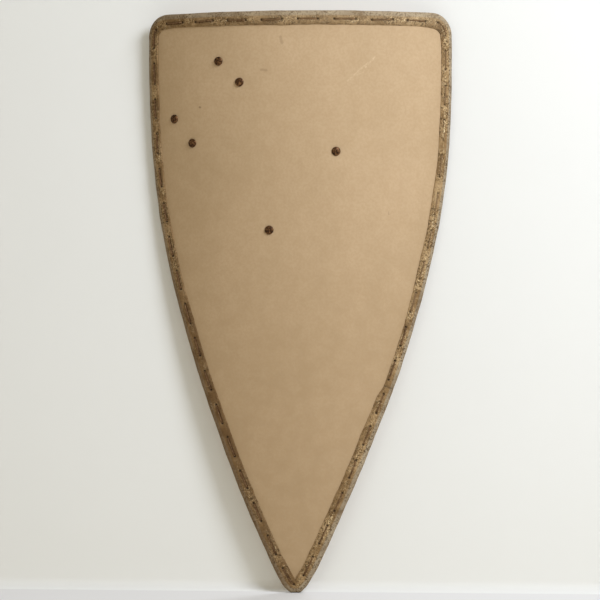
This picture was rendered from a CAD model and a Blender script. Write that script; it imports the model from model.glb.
# Looks of a curved kite shield: leather binding, lacing, rivets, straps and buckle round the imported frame
import math

import bmesh
import bpy
import numpy as np
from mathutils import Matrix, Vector


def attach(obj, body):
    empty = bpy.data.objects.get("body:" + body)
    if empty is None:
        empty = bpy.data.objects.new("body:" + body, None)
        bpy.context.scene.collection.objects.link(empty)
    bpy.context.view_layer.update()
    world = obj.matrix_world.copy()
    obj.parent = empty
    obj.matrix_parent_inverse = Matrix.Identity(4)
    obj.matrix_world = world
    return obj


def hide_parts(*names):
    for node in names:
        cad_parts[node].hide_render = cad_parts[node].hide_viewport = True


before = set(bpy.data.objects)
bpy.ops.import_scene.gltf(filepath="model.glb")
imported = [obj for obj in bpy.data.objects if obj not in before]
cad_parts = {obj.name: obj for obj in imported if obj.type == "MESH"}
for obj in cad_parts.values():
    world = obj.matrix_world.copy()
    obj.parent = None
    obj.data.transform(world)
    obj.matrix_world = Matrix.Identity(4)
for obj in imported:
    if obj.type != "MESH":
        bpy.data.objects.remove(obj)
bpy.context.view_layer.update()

# Sizes in metres, the same as in the part's source
MM = 0.001
SHIELD_HEIGHT = 1000 * MM
ARC_HALF_WIDTH = 284.5 * MM
BEND_RADIUS = 430 * MM
CORNER_RADIUS = 38 * MM
TIP_RADIUS = 27.4 * MM
FOOT_WEAR = 0.6 * MM
TIP_SLOPE = math.radians(64.6)
LOWER_HANDLE_SHARE = 0.598
UPPER_HANDLE_SHARE = 0.224
BOARD_THICKNESS = 9 * MM
FACING_THICKNESS = 1.2 * MM
BINDING_THICKNESS = 2.5 * MM
FIT_GAP = 0.3 * MM
BINDING_WIDTH = 22 * MM
NECK_WIDTH = 18 * MM
NECK_LENGTH = 200 * MM
LOWER_BINDING_WIDTH = 23.5 * MM
SPLICE_HEIGHT = 343 * MM
SPLICE_REACH = 15 * MM
TIP_SPLICE_REACH = 40 * MM
STITCH_INSET = 14.5 * MM
STITCH_PITCH = 61 * MM
STITCH_PHASE = 20 * MM
LACE_THICKNESS = 1.6 * MM
LACE_TAIL = 8 * MM
RIVET_SHARES = {
    "hand_upper_top": (-0.482, 0.915),
    "hand_upper_side": (-0.794, 0.8175),
    "hand_lower_top": (-0.346, 0.878),
    "hand_lower_side": (-0.6615, 0.7747),
    "forearm_top": (0.245, 0.758),
    "forearm_bottom": (-0.1596, 0.6228),
}
HEAD_RADIUS = 7.75 * MM
HEAD_HEIGHT = 3.6 * MM
ROVE_RADIUS = 7 * MM
ROVE_THICKNESS = 1.2 * MM
PEEN_RADIUS = 3.7 * MM
PEEN_HEIGHT = 1.6 * MM
SHANK_RADIUS = 2.25 * MM
RIVET_HOLE_RADIUS = SHANK_RADIUS + FIT_GAP

# Straps and buckle, also as in the part's source
HAND_STRAP_WIDTH = 28 * MM
HAND_STRAP_THICKNESS = 3.4 * MM
HAND_CLEARANCE = 42 * MM
STRAP_END_REACH = 19 * MM
STRAP_FLAT_REACH = 13 * MM
ARM_STRAP_WIDTH = 25 * MM
ARM_STRAP_THICKNESS = 3 * MM
ARM_CLEARANCE = 60 * MM
CROWN_HALF_LENGTH = 36 * MM
BAR_RADIUS = 2 * MM
FOLD_BAR_GAP = 0.4 * MM
FOLDED_END = 31 * MM
FOLD_RIVET_REACH = 24 * MM
FOLD_RIVET_RADIUS = 1.6 * MM
FOLD_SETTLE = 14 * MM
BUCKLE_LENGTH = 24 * MM
BUCKLE_RAIL = 4 * MM
BUCKLE_THICKNESS = 3.4 * MM
BUCKLE_TILT = math.radians(14)
BILLET_REACH = 48 * MM
BILLET_POINT = 11 * MM
BILLET_HOLE_SPACING = 22 * MM
BILLET_HOLE_RADIUS = 2.2 * MM
PRONG_DIAMETER = 2.8 * MM

# Here the outer edge is rounder than in the part's source and bulges a little, the strips of the
# binding meet closer, and the lace is slimmer
EDGE_ROUNDING = 6.5 * MM
EDGE_OUTSET = 0.9 * MM
SEAM_GAP = 0.08 * MM
LACE_WIDTH = 1.8 * MM

# Hand-made unevenness: outsets of the outline by height on each side, and of the top edge
EDGE_HEIGHT_SHARES = (0.0, 0.004, 0.012, 0.04, 0.18, 0.27, 0.34, 0.45, 0.54, 0.62, 0.73, 0.85, 0.96, 1.0)
RIGHT_OUTSETS = tuple(part * MM for part in (0, -2.8, -3.0, -0.5, 0, 0, 1.6, 1.9, 1.9, 2.9, 2.9, 1.0, 0, 0))
LEFT_OUTSETS = tuple(part * MM for part in (0, -1.6, -2.0, 0, 0, -2.0, -2.2, -2.6, -0.8, 0, 0, 0, 0, 0))
TOP_OUTSET = -0.7 * MM
# The binding is wider along the top and at the corners, right and left, and narrower over the splice
TOP_WIDENING = 1.7 * MM
CORNER_PLACE = 262 * MM
CORNER_SPREAD = 24 * MM
CORNER_WIDENINGS = (4.0 * MM, 2.2 * MM)
NECK_DELAY = 40 * MM
SPLICE_TRIM = 24 * MM
# Stitch holes stray along the seam and across it, and are pulled open away from the lace
STITCH_JITTER = 1.3 * MM
STITCH_DRIFT = 0.7 * MM
HOLE_PULL = 1.5 * MM
# Each slip: where round the seam from the top's centre, how far, and its spread
STITCH_SLIPS = ((-185 * MM, -10 * MM, 100 * MM), (-605 * MM, -11 * MM, 65 * MM))

# Levels in front of the board's front face
FACING_FRONT = FIT_GAP + FACING_THICKNESS
BINDING_FRONT_IN = FACING_FRONT + FIT_GAP
BINDING_FRONT = BINDING_FRONT_IN + BINDING_THICKNESS
BINDING_BACK_IN = -BOARD_THICKNESS - FIT_GAP
BINDING_BACK = BINDING_BACK_IN - BINDING_THICKNESS
EDGE_MIDDLE = (BINDING_FRONT + BINDING_BACK) / 2
HALF_EDGE = (BINDING_FRONT - BINDING_BACK) / 2
BOARD_INSET = BINDING_THICKNESS + FIT_GAP

# Steps of the outline: round the tip and each corner, up each side, and along half the top
TURN_STEPS = 60
SIDE_STEPS = 400
TOP_STEPS = 199


# Shape helpers

def smooth_step(value, low, high):
    share = np.clip((value - low) / (high - low), 0, 1)
    return share * share * (3 - 2 * share)


def peak(offset, spread, power=2):
    """1 where the offset is 0, falling to almost 0 at twice the spread."""
    return np.exp(-(offset / spread) ** power)


def unit(rows):
    return rows / np.linalg.norm(rows, axis=1)[:, None]


def squared(value, power):
    """A sine or cosine that is drawn out, which makes a round section squarer."""
    return math.copysign(abs(value) ** power, value)


def waves(x, y, size, seed, count=14):
    """Smooth seeded noise of about -1 to 1, with features of the given size."""
    rng = np.random.default_rng(seed)
    total = np.zeros(np.broadcast(x, y).shape)
    for _ in range(count):
        angle = rng.uniform(0, 2 * math.pi)
        rate = 2 * math.pi / (size * rng.uniform(0.6, 1.8))
        phase = rng.uniform(0, 2 * math.pi)
        total += np.sin(rate * (x * math.cos(angle) + y * math.sin(angle)) + phase)
    return total / math.sqrt(count / 2) / 1.6


def uneven(kind, x, y, seed):
    """Seeded unevenness of one kind, which is its height and the size of its features."""
    height, size = kind
    return height * waves(x, y, size, seed)


def bend(flat):
    """Wraps flat points (arc, height, level) round the smooth bend."""
    arc, height, level = flat.T
    angle = arc / BEND_RADIUS
    radius = BEND_RADIUS + level
    depth = BEND_RADIUS + EDGE_MIDDLE - radius * np.cos(angle)
    return np.column_stack([radius * np.sin(angle), depth, height])


def outline_ring():
    """Points on the outer edge from the tip up the right side and round, each with its way inwards."""
    angles = np.linspace(0, TIP_SLOPE, TURN_STEPS)
    tip_in = np.column_stack([-np.sin(angles), np.cos(angles)])
    tip = np.array([0, TIP_RADIUS - FOOT_WEAR]) - tip_in * TIP_RADIUS
    start = tip[-1]
    end = np.array([ARC_HALF_WIDTH, SHIELD_HEIGHT - CORNER_RADIUS])
    reach = np.linalg.norm(end - start)
    first = start + reach * LOWER_HANDLE_SHARE * np.array([math.cos(TIP_SLOPE), math.sin(TIP_SLOPE)])
    second = end - np.array([0, reach * UPPER_HANDLE_SHARE])
    t = np.linspace(0, 1, SIDE_STEPS)[1:, None]
    s = 1 - t
    side = s ** 3 * start + 3 * t * s ** 2 * first + 3 * t ** 2 * s * second + t ** 3 * end
    slope = unit(3 * s ** 2 * (first - start) + 6 * t * s * (second - first) + 3 * t ** 2 * (end - second))
    side_in = np.column_stack([-slope[:, 1], slope[:, 0]])
    turns = np.linspace(0, math.pi / 2, TURN_STEPS)[1:]
    corner_in = np.column_stack([-np.cos(turns), -np.sin(turns)])
    corner = np.array([ARC_HALF_WIDTH - CORNER_RADIUS, SHIELD_HEIGHT - CORNER_RADIUS])
    across = np.linspace(corner[0], 0, TOP_STEPS + 1)[1:]
    top = np.column_stack([across, np.full(across.size, SHIELD_HEIGHT)])
    top_in = np.tile([0, -1.0], (across.size, 1))
    points = np.vstack([tip, side, corner - corner_in * CORNER_RADIUS, top])
    inwards = np.vstack([tip_in, side_in, corner_in, top_in])
    flip = np.array([-1, 1])
    points = np.vstack([points, points[-2::-1] * flip])
    inwards = np.vstack([inwards, inwards[-2::-1] * flip])
    seam = points + inwards * STITCH_INSET
    distance = np.concatenate([[0], np.cumsum(np.linalg.norm(np.diff(seam, axis=0), axis=1))])
    heights = np.array(EDGE_HEIGHT_SHARES) * SHIELD_HEIGHT
    right = np.interp(points[:, 1], heights, RIGHT_OUTSETS)
    left = np.interp(points[:, 1], heights, LEFT_OUTSETS)
    outset = np.where(points[:, 0] > 0, right, left)
    outset = outset - TOP_OUTSET * inwards[:, 1] * (points[:, 1] > corner[1])
    return points - inwards * outset[:, None], inwards, distance


RING_POINTS, RING_INWARDS, RING_DISTANCE = outline_ring()
RING_LENGTH = RING_DISTANCE[-1]
TOP_MIDDLE = len(RING_POINTS) // 2


def ring_at(distance):
    """Places on the outer edge by distance round the seam, with their ways inwards."""
    wrapped = np.mod(distance, RING_LENGTH)
    point = np.column_stack([np.interp(wrapped, RING_DISTANCE, RING_POINTS[:, k]) for k in (0, 1)])
    inwards = np.column_stack([np.interp(wrapped, RING_DISTANCE, RING_INWARDS[:, k]) for k in (0, 1)])
    return point, unit(inwards)


# Stitches, counted as in the part's source
STITCH_COUNT = round(RING_LENGTH / STITCH_PITCH)
EVEN_PITCH = RING_LENGTH / STITCH_COUNT
STITCH_LENGTH = EVEN_PITCH / 2
FIRST_STITCH = (RING_LENGTH / 2 - STITCH_PHASE - STITCH_LENGTH / 2) % EVEN_PITCH


def hole_distance(index):
    return FIRST_STITCH + (index // 2) * EVEN_PITCH + (index % 2) * STITCH_LENGTH


def stitch_after(distance):
    return 2 * math.ceil((distance - FIRST_STITCH) / EVEN_PITCH)


def middle_before(index):
    return (hole_distance(index - 1) + hole_distance(index)) / 2


def sewn_holes():
    """Where the stitch holes really lie: along the seam and across it, with slips and jitter."""
    rng = np.random.default_rng(12)
    even = np.array([hole_distance(i) for i in range(2 * STITCH_COUNT)])
    along = even + rng.uniform(-STITCH_JITTER, STITCH_JITTER, even.size)
    for centre, slip, spread in STITCH_SLIPS:
        along += slip * peak(even - RING_LENGTH / 2 - centre, spread)
    return along, STITCH_INSET + rng.uniform(-STITCH_DRIFT, STITCH_DRIFT, even.size)


HOLE_ALONG, HOLE_INSET = sewn_holes()


def sewn_hole(index):
    """Distance and inset of a hole, with the turns round the ring counted in."""
    turns, place = divmod(index, 2 * STITCH_COUNT)
    return turns * RING_LENGTH + HOLE_ALONG[place], HOLE_INSET[place]


SPLICE_DISTANCE = np.interp(SPLICE_HEIGHT, RING_POINTS[:TOP_MIDDLE, 1], RING_DISTANCE[:TOP_MIDDLE])
SPLICE_STITCH = stitch_after(SPLICE_DISTANCE - SPLICE_REACH)
TIP_STITCH = stitch_after(RING_LENGTH - TIP_SPLICE_REACH)
MAIN_START = middle_before(SPLICE_STITCH)
MAIN_END = middle_before(TIP_STITCH)


# Materials

NOISE_ROUGHNESS = 0.55
# Places of the two ends of a roughness ramp, in the noise's values
ROUGH_RANGE = (0.3, 0.7)


class Surface:
    """A Principled material that is put together from layers of colour and relief."""

    def __init__(self, name, roughness=0.6, metallic=0.0, specular=0.5):
        self.material = bpy.data.materials.new(name)
        self.material.use_nodes = True
        self.tree = self.material.node_tree
        self.shader = self.tree.nodes["Principled BSDF"]
        self.shader.inputs["Roughness"].default_value = roughness
        self.shader.inputs["Metallic"].default_value = metallic
        self.shader.inputs["Specular IOR Level"].default_value = specular
        self.coords = self.node("TexCoord", {})
        self.color = None
        self.normal = None

    def node(self, kind, inputs, **settings):
        """Outputs of a new node. Its inputs are numbers, colours or the outputs of other nodes."""
        node = self.tree.nodes.new("ShaderNode" + kind)
        for name, value in settings.items():
            setattr(node, name, value)
        for name, value in inputs.items():
            socket = node.inputs[name]
            if isinstance(value, bpy.types.NodeSocket):
                self.tree.links.new(value, socket)
            else:
                socket.default_value = (*value, 1) if socket.type == "RGBA" else value
        return node.outputs

    def mapping(self, size, stretch=(1, 1, 1), space="Object"):
        scale = tuple(part / size for part in stretch)
        return self.node("Mapping", {"Vector": self.coords[space], "Scale": scale})["Vector"]

    def noise(self, size, detail, stretch=(1, 1, 1), space="Object", distortion=0.0):
        inputs = {"Scale": 1.0, "Detail": detail, "Roughness": NOISE_ROUGHNESS, "Distortion": distortion}
        return self.node("TexNoise", {"Vector": self.mapping(size, stretch, space), **inputs})["Fac"]

    def cells(self, size):
        return self.node("TexVoronoi", {"Vector": self.mapping(size), "Scale": 1.0})["Distance"]

    def source(self, value):
        """An output as it is, or the noise with this size and detail."""
        return self.noise(*value) if isinstance(value, tuple) else value

    def ramp(self, value, *stops):
        node = self.tree.nodes.new("ShaderNodeValToRGB")
        elements = node.color_ramp.elements
        while len(elements) < len(stops):
            elements.new(0.5)
        for element, (place, color) in zip(elements, stops):
            element.position = place
            element.color = (*color, 1)
        self.tree.links.new(self.source(value), node.inputs["Fac"])
        return node.outputs["Color"]

    def fade(self, value, low, high):
        """0 at the low value, 1 at the high one, and smooth between them."""
        inputs = {"Value": self.source(value), "From Min": low, "From Max": high}
        return self.node("MapRange", inputs, interpolation_type="SMOOTHSTEP")["Result"]

    def attribute(self, name):
        return self.node("Attribute", {}, attribute_name=name)["Fac"]

    def math(self, kind, *values):
        return self.node("Math", dict(enumerate(values)), operation=kind)["Value"]

    def times(self, first, second):
        return self.math("MULTIPLY", first, second)

    def vector(self, kind, *values):
        return self.node("VectorMath", dict(enumerate(values)), operation=kind)

    def near_line(self, start, end, width, warp):
        """1 on a line from start to end in flat coordinates, fading to 0 at its width."""
        way = (end[0] - start[0], end[1] - start[1], 0.0)
        offset = self.vector("SUBTRACT", self.coords["UV"], (*start, 0.0))["Vector"]
        share = self.math("DIVIDE", self.vector("DOT_PRODUCT", offset, way)["Value"], math.hypot(*way) ** 2)
        share = self.node("Clamp", {"Value": share})["Result"]
        nearest = self.node("VectorMath", {0: way, "Scale": share}, operation="SCALE")["Vector"]
        gap = self.math("ADD", self.vector("DISTANCE", offset, nearest)["Value"], warp)
        return self.math("SUBTRACT", 1.0, self.fade(gap, width * MARK_CORE_SHARE, width))

    def base(self, value, *stops):
        self.color = self.ramp(value, *stops)

    def tint(self, mask, strength, color):
        """Lays a colour over those before it, where the mask is 1, at a strength."""
        share = self.times(mask, strength)
        self.color = self.node("Mix", {0: share, 6: self.color, 7: color}, data_type="RGBA")[2]

    def rough(self, value, low, high):
        ramp = self.ramp(value, *((place, (part,) * 3) for place, part in zip(ROUGH_RANGE, (low, high))))
        self.tree.links.new(ramp, self.shader.inputs["Roughness"])

    def relief(self, height, strength, distance):
        """Adds a bump on top of those before it."""
        inputs = {"Height": self.source(height), "Strength": strength, "Distance": distance}
        if self.normal is not None:
            inputs["Normal"] = self.normal
        self.normal = self.node("Bump", inputs)["Normal"]

    def finish(self):
        self.tree.links.new(self.color, self.shader.inputs["Base Color"])
        if self.normal is not None:
            self.tree.links.new(self.normal, self.shader.inputs["Normal"])
        return self.material


# Marks on the facing, in flat coordinates: start, end, width and strength
SCUFFS = (
    ((0.1385, 0.9225), (0.121, 0.903), 0.0018, 0.28),
    ((0.124, 0.910), (0.090, 0.879), 0.0021, 0.24),
    ((0.117, 0.894), (0.101, 0.887), 0.0015, 0.17),
)
DARK_MARKS = (
    ((-0.026, 0.955), (-0.023, 0.944), 0.0036, 0.25),
    ((-0.059, 0.8985), (-0.050, 0.8975), 0.0030, 0.25),
    ((-0.1735, 0.8366), (-0.1715, 0.836), 0.0027, 0.58),
    ((0.162, 0.655), (0.162, 0.650), 0.0010, 0.30),
)
MARK_WARP = 3.6 * MM
MARK_CORE_SHARE = 0.3


def facing_material():
    look = Surface("facing", specular=0.25)
    broad = look.noise(0.16, 3, (1, 1, 0.6))
    look.base(broad, (0.30, (0.460, 0.339, 0.215)), (0.70, (0.516, 0.382, 0.250)))
    # Darker towards the tip, then mottled and speckled
    height = look.node("SeparateXYZ", {"Vector": look.coords["UV"]})[1]
    look.tint(look.fade(height, 1.0, 0.0), 0.55, (0.330, 0.233, 0.137))
    look.tint(look.fade(look.noise(0.026, 5, distortion=0.3), 0.32, 0.68), 0.10, (0.70, 0.55, 0.39))
    look.tint(look.fade((0.0042, 3), 0.36, 0.64), 0.27, (0.40, 0.275, 0.155))
    # Pale scuffs, small dark marks, and soil along the binding
    warp = look.times(look.math("SUBTRACT", look.noise(0.006, 3, space="UV"), 0.5), MARK_WARP)
    streak = look.fade(look.noise(0.0035, 2, space="UV"), 0.35, 0.6)
    for start, end, width, strength in SCUFFS:
        mark = look.times(look.near_line(start, end, width, warp), streak)
        look.tint(mark, strength, (0.80, 0.66, 0.48))
    for start, end, width, strength in DARK_MARKS:
        look.tint(look.near_line(start, end, width, warp), strength, (0.16, 0.10, 0.05))
    look.tint(look.attribute("edge_soil"), 0.22, (0.33, 0.215, 0.11))
    look.rough((0.03, 4), 0.62, 0.74)
    look.relief(look.cells(0.0011), 0.12, 0.0004)
    look.relief((0.012, 5), 0.10, 0.0015)
    look.relief((0.05, 2), 0.10, 0.006)
    return look.finish()


def binding_material():
    look = Surface("binding", specular=0.3)
    patches = look.noise(0.042, 5, distortion=0.6)
    fine = look.noise(0.0030, 4)
    look.base(
        patches,
        (0.33, (0.135, 0.076, 0.029)),
        (0.46, (0.230, 0.142, 0.062)),
        (0.57, (0.335, 0.224, 0.112)),
        (0.70, (0.440, 0.312, 0.176)),
    )
    # The turned edge is greyer, and the lower left is soiled
    rim = look.times(look.attribute("rim_pale"), look.fade(patches, 0.20, 0.54))
    look.tint(rim, 0.62, (0.330, 0.303, 0.252))
    soiled = look.attribute("low_soil")
    look.tint(soiled, 0.62, (0.118, 0.062, 0.021))
    clean = look.math("SUBTRACT", 1.0, look.times(soiled, 0.45))
    # Rough spots where the surface is rubbed: dark pores and pale threads of hide
    rubbed = look.fade((0.045, 3), 0.36, 0.60)
    flecks = look.times(look.fade(fine, 0.49, 0.60), look.math("ADD", rubbed, 0.45))
    look.tint(flecks, 0.62, (0.070, 0.038, 0.014))
    near_seam = look.math("ADD", look.times(look.attribute("seam_band"), 0.75), 0.25)
    shreds = look.times(look.fade(look.noise(0.0028, 3, distortion=1.5), 0.55, 0.62), rubbed)
    shreds = look.times(shreds, near_seam)
    look.tint(shreds, clean, (0.74, 0.58, 0.35))
    pale = look.times(look.fade(look.noise(0.012, 4, distortion=1.0), 0.57, 0.74), clean)
    look.tint(pale, 0.35, (0.46, 0.365, 0.245))
    look.tint(look.attribute("top_wear"), 0.20, (0.50, 0.40, 0.27))
    # Stain beside the lace, and the dark of holes, scored lines and dirt
    stain = look.times(look.attribute("lace_stain"), look.fade(fine, 0.66, 0.40))
    look.tint(stain, 0.94, (0.058, 0.023, 0.004))
    look.tint(look.attribute("stitch_dark"), 1.0, (0.018, 0.010, 0.004))
    look.rough(fine, 0.70, 0.90)
    look.relief((0.0020, 4), 0.45, 0.0012)
    look.relief(look.noise(0.007, 4, distortion=0.8), 0.35, 0.003)
    return look.finish()


def lace_material():
    look = Surface("lace", specular=0.35)
    look.base((0.006, 4), (0.3, (0.072, 0.032, 0.012)), (0.7, (0.200, 0.104, 0.045)))
    look.tint(look.fade((0.0045, 3), 0.50, 0.66), 0.55, (0.34, 0.215, 0.105))
    look.tint(look.attribute("faded"), 0.55, (0.330, 0.225, 0.125))
    look.rough((0.004, 2), 0.55, 0.8)
    look.relief((0.0012, 3), 0.3, 0.0005)
    return look.finish()


def thread_material():
    look = Surface("thread", roughness=0.8, specular=0.3)
    look.base((0.005, 3), (0.42, (0.42, 0.29, 0.15)), (0.56, (0.86, 0.72, 0.48)))
    return look.finish()


def rivet_material():
    look = Surface("rivet", metallic=0.75)
    look.base(
        (0.0035, 4),
        (0.36, (0.024, 0.010, 0.005)),
        (0.50, (0.080, 0.036, 0.014)),
        (0.66, (0.225, 0.118, 0.054)),
    )
    look.rough((0.0025, 4), 0.24, 0.46)
    look.relief((0.0032, 3), 0.55, 0.0012)
    return look.finish()


def rove_material():
    look = Surface("rove", metallic=0.9)
    look.base((0.005, 5), (0.3, (0.26, 0.205, 0.155)), (0.7, (0.58, 0.49, 0.40)))
    look.rough((0.003, 4), 0.32, 0.55)
    look.relief((0.002, 3), 0.3, 0.0005)
    return look.finish()


def wood_material():
    look = Surface("wood", specular=0.35)
    grain = look.noise(0.014, 6, (1, 1, 0.045), distortion=0.35)
    fibre = look.noise(0.0016, 3, (1, 1, 0.03))
    look.base(
        grain,
        (0.30, (0.40, 0.245, 0.115)),
        (0.50, (0.545, 0.370, 0.200)),
        (0.72, (0.62, 0.445, 0.262)),
    )
    growth = look.math("FRACT", look.times(look.noise(0.20, 1.5, (1, 1, 0.16)), 22.0))
    rings = look.fade(look.math("ABSOLUTE", look.math("SUBTRACT", growth, 0.5)), 0.16, 0.5)
    look.tint(rings, 0.34, (0.37, 0.215, 0.095))
    look.tint(look.fade(fibre, 0.45, 0.75), 0.30, (0.34, 0.20, 0.09))
    look.tint(look.fade((0.12, 3, (1, 1, 0.25)), 0.45, 0.7), 0.25, (0.46, 0.30, 0.16))
    look.rough(grain, 0.50, 0.66)
    look.relief(fibre, 0.18, 0.0006)
    return look.finish()


def strap_material():
    look = Surface("strap", specular=0.4)
    broad = look.noise(0.03, 5, distortion=0.4)
    look.base(broad, (0.30, (0.105, 0.050, 0.021)), (0.70, (0.205, 0.105, 0.046)))
    look.tint(look.attribute("strap_edge"), 0.75, (0.045, 0.022, 0.010))
    look.tint(look.attribute("strap_groove"), 0.5, (0.055, 0.028, 0.013))
    look.tint(look.fade((0.012, 5), 0.56, 0.78), 0.3, (0.30, 0.175, 0.090))
    look.rough((0.008, 4), 0.42, 0.62)
    look.relief(look.cells(0.0009), 0.25, 0.0004)
    look.relief((0.006, 4), 0.22, 0.0015)
    return look.finish()


def brass_material():
    look = Surface("brass", metallic=0.95)
    look.base(
        (0.008, 5),
        (0.30, (0.235, 0.145, 0.045)),
        (0.55, (0.430, 0.290, 0.105)),
        (0.75, (0.560, 0.400, 0.165)),
    )
    look.rough((0.004, 4), 0.26, 0.48)
    look.relief((0.002, 3), 0.12, 0.0003)
    return look.finish()


MATERIALS = {
    "facing": facing_material(),
    "binding": binding_material(),
    "lace": lace_material(),
    "thread": thread_material(),
    "rivet": rivet_material(),
    "rove": rove_material(),
    "wood": wood_material(),
    "strap": strap_material(),
    "brass": brass_material(),
}


# Mesh helpers

def link_object(name, data):
    obj = bpy.data.objects.new(name, data)
    bpy.context.scene.collection.objects.link(obj)
    return obj


def add_object(name, vertices, faces, slot, replaced, uv=None, material=None):
    """A smooth piece of the shield, in its slot's material unless it has one of its own."""
    mesh = bpy.data.meshes.new(name)
    mesh.from_pydata(np.asarray(vertices).tolist(), [], [tuple(face) for face in faces])
    mesh.validate()
    if uv is not None:
        layer = mesh.uv_layers.new(name="flat")
        loops = np.zeros(len(mesh.loops), dtype=np.int32)
        mesh.loops.foreach_get("vertex_index", loops)
        layer.data.foreach_set("uv", np.asarray(uv)[loops].astype(np.float32).ravel())
    obj = link_object(name, mesh)
    mesh.materials.append(MATERIALS[material or slot])
    mesh.shade_smooth()
    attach(obj, "shield")
    if replaced:
        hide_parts(replaced)
    return obj


def grid_faces(rows, columns, start=0, close_columns=False, flip=False):
    faces = []
    for r in range(rows - 1):
        for c in range(columns if close_columns else columns - 1):
            here = start + r * columns
            d = (c + 1) % columns
            face = [here + c, here + d, here + columns + d, here + columns + c]
            faces.append(face[::-1] if flip else face)
    return faces


def tube_faces(rows, columns):
    """Faces round a tube of rings, and one over each end."""
    faces = grid_faces(rows, columns, close_columns=True)
    faces.append(list(range(columns))[::-1])
    faces.append([(rows - 1) * columns + c for c in range(columns)])
    return faces


def add_bevel(obj, width, segments, angle):
    bevel = obj.modifiers.new("bevel", "BEVEL")
    bevel.width = width
    bevel.segments = segments
    bevel.limit_method = "ANGLE"
    bevel.angle_limit = math.radians(angle)


def paint(obj, name, values):
    attribute = obj.data.attributes.new(name=name, type="FLOAT", domain="POINT")
    attribute.data.foreach_set("value", np.asarray(values, dtype=np.float32).ravel())


# Board and facing

RIVET_PLACES = {
    name: np.array([arc_share * ARC_HALF_WIDTH, height_share * SHIELD_HEIGHT])
    for name, (arc_share, height_share) in RIVET_SHARES.items()
}
# Rows and columns of each plate's grid
FACING_GRID = (260, 150)
BOARD_GRID = (120, 80)
LOWEST_SHARE = 0.004
FACING_RIPPLE = (0.16 * MM, 110 * MM)
RIVET_DIMPLE = 0.55 * MM
DIMPLE_SPREAD = 9 * MM
SOIL_REACH = 7 * MM


def side_climb(side, inset):
    """Places from the tip up one side to the end of its top corner, a little inside the outline."""
    points = RING_POINTS + RING_INWARDS * inset
    way = points[:TOP_MIDDLE + 1] if side > 0 else points[:TOP_MIDDLE - 1:-1]
    return way[:len(way) - TOP_STEPS]


def half_width(side, height, inset=0.0):
    climb = side_climb(side, inset)
    return np.interp(height, climb[:, 1], np.abs(climb[:, 0]))


def plate_grid(rows, columns):
    """Flat places of a grid that fills the outline, from the tip to the top edge."""
    climb = side_climb(1, BOARD_INSET)
    lowest, highest = climb[0, 1], climb[-1, 1]
    share = np.clip(np.linspace(0, 1, rows), LOWEST_SHARE, 1)
    heights = lowest + (highest - lowest) * (1 - np.cos(math.pi * share)) / 2
    left = -half_width(-1, heights, BOARD_INSET)[:, None]
    right = half_width(1, heights, BOARD_INSET)[:, None]
    arc = left + (right - left) * np.linspace(0, 1, columns)[None, :]
    return arc.ravel(), np.repeat(heights, columns)


def plate_object(name, back, front, grid, slot, replaced, relief=None):
    rows, columns = grid
    arc, height = plate_grid(rows, columns)
    front_level = np.full(arc.size, front) + (relief(arc, height) if relief else 0)
    back_level = np.full(arc.size, back)
    flat = np.vstack([np.column_stack([arc, height, level]) for level in (front_level, back_level)])
    count = rows * columns
    faces = grid_faces(rows, columns) + grid_faces(rows, columns, count, flip=True)
    border = [r * columns for r in range(rows - 1, 0, -1)] + list(range(columns - 1))
    border += [r * columns + columns - 1 for r in range(rows - 1)]
    border += [(rows - 1) * columns + c for c in range(columns - 1, 0, -1)]
    for a, b in zip(border, border[1:] + border[:1]):
        faces.append((b, a, a + count, b + count))
    obj = add_object(name, bend(flat), faces, slot, replaced, uv=flat[:, :2])
    return obj, flat


def facing_relief(arc, height):
    relief = uneven(FACING_RIPPLE, arc, height, 4)
    for place in RIVET_PLACES.values():
        relief -= RIVET_DIMPLE * peak(np.hypot(arc - place[0], height - place[1]), DIMPLE_SPREAD)
    return relief


def edge_gap(arc, height):
    """How far a flat place lies inside the outline, measured across."""
    half = np.where(arc > 0, half_width(1, height), half_width(-1, height))
    return np.minimum(half - np.abs(arc), SHIELD_HEIGHT - height)


facing, facing_flat = plate_object(
    "facing_skin", FIT_GAP, FACING_FRONT, FACING_GRID, "facing", "front_facing", relief=facing_relief,
)
past_binding = np.clip(edge_gap(facing_flat[:, 0], facing_flat[:, 1]) - BINDING_WIDTH, 0, 1)
paint(facing, "edge_soil", np.exp(-past_binding / SOIL_REACH))
plate_object("board_ply", -BOARD_THICKNESS, 0, BOARD_GRID, "wood", "plywood_board")


# Binding: lines that run along it, from the front flange's inner edge round the outer edge to the back
# flange's inner edge and back along the inside

BINDING_STEP = 1.15 * MM
FLANGE_SHARES = np.concatenate([np.linspace(0.0, 0.92, 26), [0.955, 0.985, 1.0]])
EDGE_ANGLES = np.linspace(0, math.pi, 17)[1:-1]
INNER_LINES = (
    (1.0, BINDING_BACK_IN),
    (0.0, BINDING_BACK_IN),
    (0.0, BINDING_FRONT_IN),
    (1.0, BINDING_FRONT_IN),
)
# Unevenness of the width, of the edge's bulge as a share, of its level, and of the leather's puffs
WIDTH_SWAY = (0.45 * MM, 70 * MM)
WIDTH_RIPPLE = (0.25 * MM, 14 * MM)
BULGE_SWAY = (0.05, 50 * MM)
EDGE_RIPPLE = (0.25 * MM, 30 * MM)
EDGE_RIPPLE_TURN = 10 * MM
PUFF = (0.35 * MM, 28 * MM)
PUFFED_TO = 0.7
# Under 1, these powers make the rounded edge squarer: across it and from front to back
EDGE_POWERS = (0.65, 0.8)
CROWN = 0.5 * MM
CROWN_INSET = 8.5 * MM
CROWN_SPREAD = 4 * MM
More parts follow.
